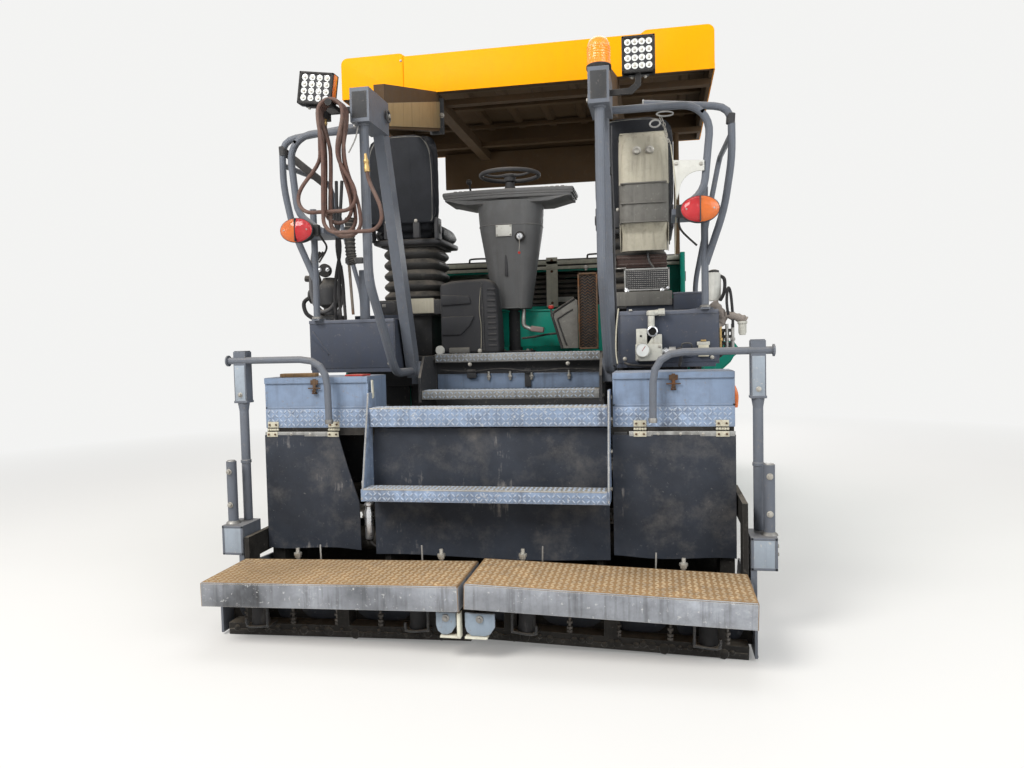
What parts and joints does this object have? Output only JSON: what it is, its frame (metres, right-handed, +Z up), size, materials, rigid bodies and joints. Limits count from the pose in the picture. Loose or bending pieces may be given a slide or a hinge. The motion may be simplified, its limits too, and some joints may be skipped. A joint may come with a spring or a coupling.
{
  "type": "tracked asphalt paver",
  "caption": "Crawler asphalt paver with open hopper, slat conveyors, augers, roofed operator deck and a lifting screed with two sliding extensions.",
  "frame": {"origin": "on the ground under the middle of the whole machine", "axes": "+Y is the direction of travel, +X the machine's right side, +Z up"},
  "size_m": [3.25, 6, 3.451],
  "materials": {
    "dark_steel": "matt, dusty",
    "teal_paint": "semi-gloss, dusty",
    "screed_steel": "tar-stained matt",
    "blue_grey_paint": "semi-gloss, scuffed",
    "rail_paint": "semi-gloss, scuffed",
    "treadplate": "worn checker plate, dusty",
    "track_rubber": "matt",
    "wheel_steel": "dusty",
    "slat_steel": "worn",
    "flight_iron": "worn, tar-stained",
    "roof_yellow": "gloss",
    "frame_dark": "matt",
    "box_navy": "semi-gloss",
    "hood_cream": "semi-gloss",
    "engine_grey": "matt",
    "black_plastic": "satin",
    "seat_vinyl": "satin",
    "cover_grey": "weathered",
    "lamp_lens": "clear coloured",
    "beacon_amber": "clear coloured",
    "valve_alloy": "cast",
    "hose_rubber": "dusty red-brown",
    "curtain_rubber": "matt, scuffed",
    "bright_rod": "bright",
    "exhaust_steel": "heat-stained"
  },
  "bodies": {
    "tractor": {"chassis_frame": "dark_steel", "side_bodies": "teal_paint", "conveyors": "slat_steel", "track_frames": "wheel_steel", "track_left": "track_rubber", "track_right": "track_rubber", "platform": "dark_steel", "side_boxes": "box_navy", "hood_frame": "teal_paint", "engine_block": "engine_grey", "console": "black_plastic", "seat_bases": "black_plastic", "seats": "seat_vinyl", "seat_cover": "cover_grey", "roof_shell": "roof_yellow", "roof_frame": "frame_dark", "roof_posts": "rail_paint", "guard_rails": "rail_paint", "lamps": "lamp_lens", "beacon": "beacon_amber", "valve_block": "valve_alloy", "hose_hank": "hose_rubber", "exhaust_pipe": "exhaust_steel", "auger_hanger": "dark_steel"},
    "hood_lid": {"hood_lid": "hood_cream"},
    "steering_wheel": {"steering_wheel": "black_plastic"},
    "hopper_wing_left": {"hopper_wing_left": "teal_paint"},
    "hopper_wing_right": {"hopper_wing_right": "teal_paint"},
    "hopper_apron": {"hopper_apron": "teal_paint"},
    "wing_barrel_left": {"wing_barrel_left": "dark_steel"},
    "wing_barrel_right": {"wing_barrel_right": "dark_steel"},
    "wing_rod_left": {"wing_rod_left": "bright_rod"},
    "wing_rod_right": {"wing_rod_right": "bright_rod"},
    "push_bar": {"push_bar": "dark_steel"},
    "push_roller_left": {"push_roller_left": "slat_steel"},
    "push_roller_right": {"push_roller_right": "slat_steel"},
    "auger_left": {"auger_left": "flight_iron"},
    "auger_right": {"auger_right": "flight_iron"},
    "lift_barrel_left": {"lift_barrel_left": "dark_steel"},
    "lift_barrel_right": {"lift_barrel_right": "dark_steel"},
    "lift_rod_left": {"lift_rod_left": "bright_rod"},
    "lift_rod_right": {"lift_rod_right": "bright_rod"},
    "screed": {"tow_arms": "dark_steel", "screed_base": "screed_steel", "toolboxes": "blue_grey_paint", "screed_steps": "treadplate", "centre_curtain": "curtain_rubber"},
    "toolbox_lid_left": {"toolbox_lid_left": "blue_grey_paint"},
    "toolbox_lid_right": {"toolbox_lid_right": "blue_grey_paint"},
    "flap_left": {"flap_left": "curtain_rubber"},
    "flap_right": {"flap_right": "curtain_rubber"},
    "extension_left": {"extension_left": "screed_steel", "walkway_left": "treadplate", "end_gate_left": "rail_paint"},
    "extension_right": {"extension_right": "screed_steel", "walkway_right": "treadplate", "end_gate_right": "rail_paint"}
  },
  "joints": [
    {"name": "screed_lift", "type": "hinge", "parent": "tractor", "child": "screed", "pos_m": [0, 0.8, 0.6], "axis": [-1, 0, 0], "range_deg": [0, 5]},
    {"name": "extension_slide_left", "type": "slide", "parent": "screed", "child": "extension_left", "axis": [-1, 0, 0], "range_m": [0, 1.1]},
    {"name": "extension_slide_right", "type": "slide", "parent": "screed", "child": "extension_right", "axis": [1, 0, 0], "range_m": [0, 1.1]},
    {"name": "toolbox_lid_hinge_left", "type": "hinge", "parent": "screed", "child": "toolbox_lid_left", "pos_m": [0, -2.0617, 1.267], "axis": [-1, 0, 0], "range_deg": [0, 85]},
    {"name": "toolbox_lid_hinge_right", "type": "hinge", "parent": "screed", "child": "toolbox_lid_right", "pos_m": [0, -2.0617, 1.267], "axis": [-1, 0, 0], "range_deg": [0, 85]},
    {"name": "flap_hinge_left", "type": "hinge", "parent": "screed", "child": "flap_left", "pos_m": [-1.05, -2.36, 0.99], "axis": [-1, 0, 0], "range_deg": [0, 60]},
    {"name": "flap_hinge_right", "type": "hinge", "parent": "screed", "child": "flap_right", "pos_m": [0.95, -2.36, 0.99], "axis": [-1, 0, 0], "range_deg": [0, 60]},
    {"name": "lift_barrel_pivot_left", "type": "hinge", "parent": "tractor", "child": "lift_barrel_left", "pos_m": [-1.112, -1.405, 1.25], "axis": [-1, 0, 0], "range_deg": [0, 17.8]},
    {"name": "lift_barrel_pivot_right", "type": "hinge", "parent": "tractor", "child": "lift_barrel_right", "pos_m": [1.112, -1.405, 1.25], "axis": [-1, 0, 0], "range_deg": [0, 17.8]},
    {"name": "lift_rod_slide_left", "type": "slide", "parent": "lift_barrel_left", "child": "lift_rod_left", "axis": [0, 0.7711, 0.6367], "range_m": [0, 0.151]},
    {"name": "lift_rod_slide_right", "type": "slide", "parent": "lift_barrel_right", "child": "lift_rod_right", "axis": [0, 0.7711, 0.6367], "range_m": [0, 0.151]},
    {"name": "wing_fold_left", "type": "hinge", "parent": "tractor", "child": "hopper_wing_left", "pos_m": [-0.665, 1.8, 0.762], "axis": [0, 1, 0], "range_deg": [0, 50]},
    {"name": "wing_fold_right", "type": "hinge", "parent": "tractor", "child": "hopper_wing_right", "pos_m": [0.665, 1.8, 0.762], "axis": [0, -1, 0], "range_deg": [0, 50]},
    {"name": "wing_barrel_pivot_left", "type": "hinge", "parent": "tractor", "child": "wing_barrel_left", "pos_m": [-0.8, 2.35, 0.5], "axis": [0, 1, 0], "range_deg": [0, 37.3]},
    {"name": "wing_barrel_pivot_right", "type": "hinge", "parent": "tractor", "child": "wing_barrel_right", "pos_m": [0.8, 2.35, 0.5], "axis": [0, -1, 0], "range_deg": [0, 37.3]},
    {"name": "wing_rod_slide_left", "type": "slide", "parent": "wing_barrel_left", "child": "wing_rod_left", "axis": [-0.7071, 0, 0.7071], "range_m": [0, 0.206]},
    {"name": "wing_rod_slide_right", "type": "slide", "parent": "wing_barrel_right", "child": "wing_rod_right", "axis": [0.7071, 0, 0.7071], "range_m": [0, 0.206]},
    {"name": "apron_hinge", "type": "hinge", "parent": "tractor", "child": "hopper_apron", "pos_m": [0, 2.716, 0.63], "axis": [1, 0, 0], "range_deg": [0, 35]},
    {"name": "push_bar_pivot", "type": "hinge", "parent": "tractor", "child": "push_bar", "pos_m": [0, 2.77, 0.5], "axis": [0, 0, 1], "range_deg": [-6, 6]},
    {"name": "push_roller_spin_left", "type": "hinge", "parent": "push_bar", "child": "push_roller_left", "pos_m": [-0.51, 2.925, 0.5], "axis": [1, 0, 0], "continuous": true},
    {"name": "push_roller_spin_right", "type": "hinge", "parent": "push_bar", "child": "push_roller_right", "pos_m": [0.51, 2.925, 0.5], "axis": [1, 0, 0], "continuous": true},
    {"name": "auger_spin_left", "type": "hinge", "parent": "tractor", "child": "auger_left", "pos_m": [-0.6, -1.62, 0.42], "axis": [1, 0, 0], "continuous": true},
    {"name": "auger_spin_right", "type": "hinge", "parent": "tractor", "child": "auger_right", "pos_m": [0.6, -1.62, 0.42], "axis": [1, 0, 0], "continuous": true},
    {"name": "steering_turn", "type": "hinge", "parent": "tractor", "child": "steering_wheel", "pos_m": [-0.06, -1.22, 2.53], "axis": [0, 0, 1], "range_deg": [-180, 180]},
    {"name": "hood_lid_hinge", "type": "hinge", "parent": "tractor", "child": "hood_lid", "pos_m": [0, 0.694, 2.062], "axis": [-1, 0, 0], "range_deg": [0, 35]}
  ],
  "couplings": [
    {"joint": "lift_barrel_pivot_left", "follows": "screed_lift", "ratio": 3.4681},
    {"joint": "lift_rod_slide_left", "follows": "screed_lift", "m_per_rad": 1.6987},
    {"joint": "wing_barrel_pivot_left", "follows": "wing_fold_left", "ratio": 0.7358},
    {"joint": "wing_rod_slide_left", "follows": "wing_fold_left", "m_per_rad": 0.2321},
    {"joint": "lift_barrel_pivot_right", "follows": "screed_lift", "ratio": 3.4681},
    {"joint": "lift_rod_slide_right", "follows": "screed_lift", "m_per_rad": 1.6987},
    {"joint": "wing_barrel_pivot_right", "follows": "wing_fold_right", "ratio": 0.7358},
    {"joint": "wing_rod_slide_right", "follows": "wing_fold_right", "m_per_rad": 0.2321}
  ]
}
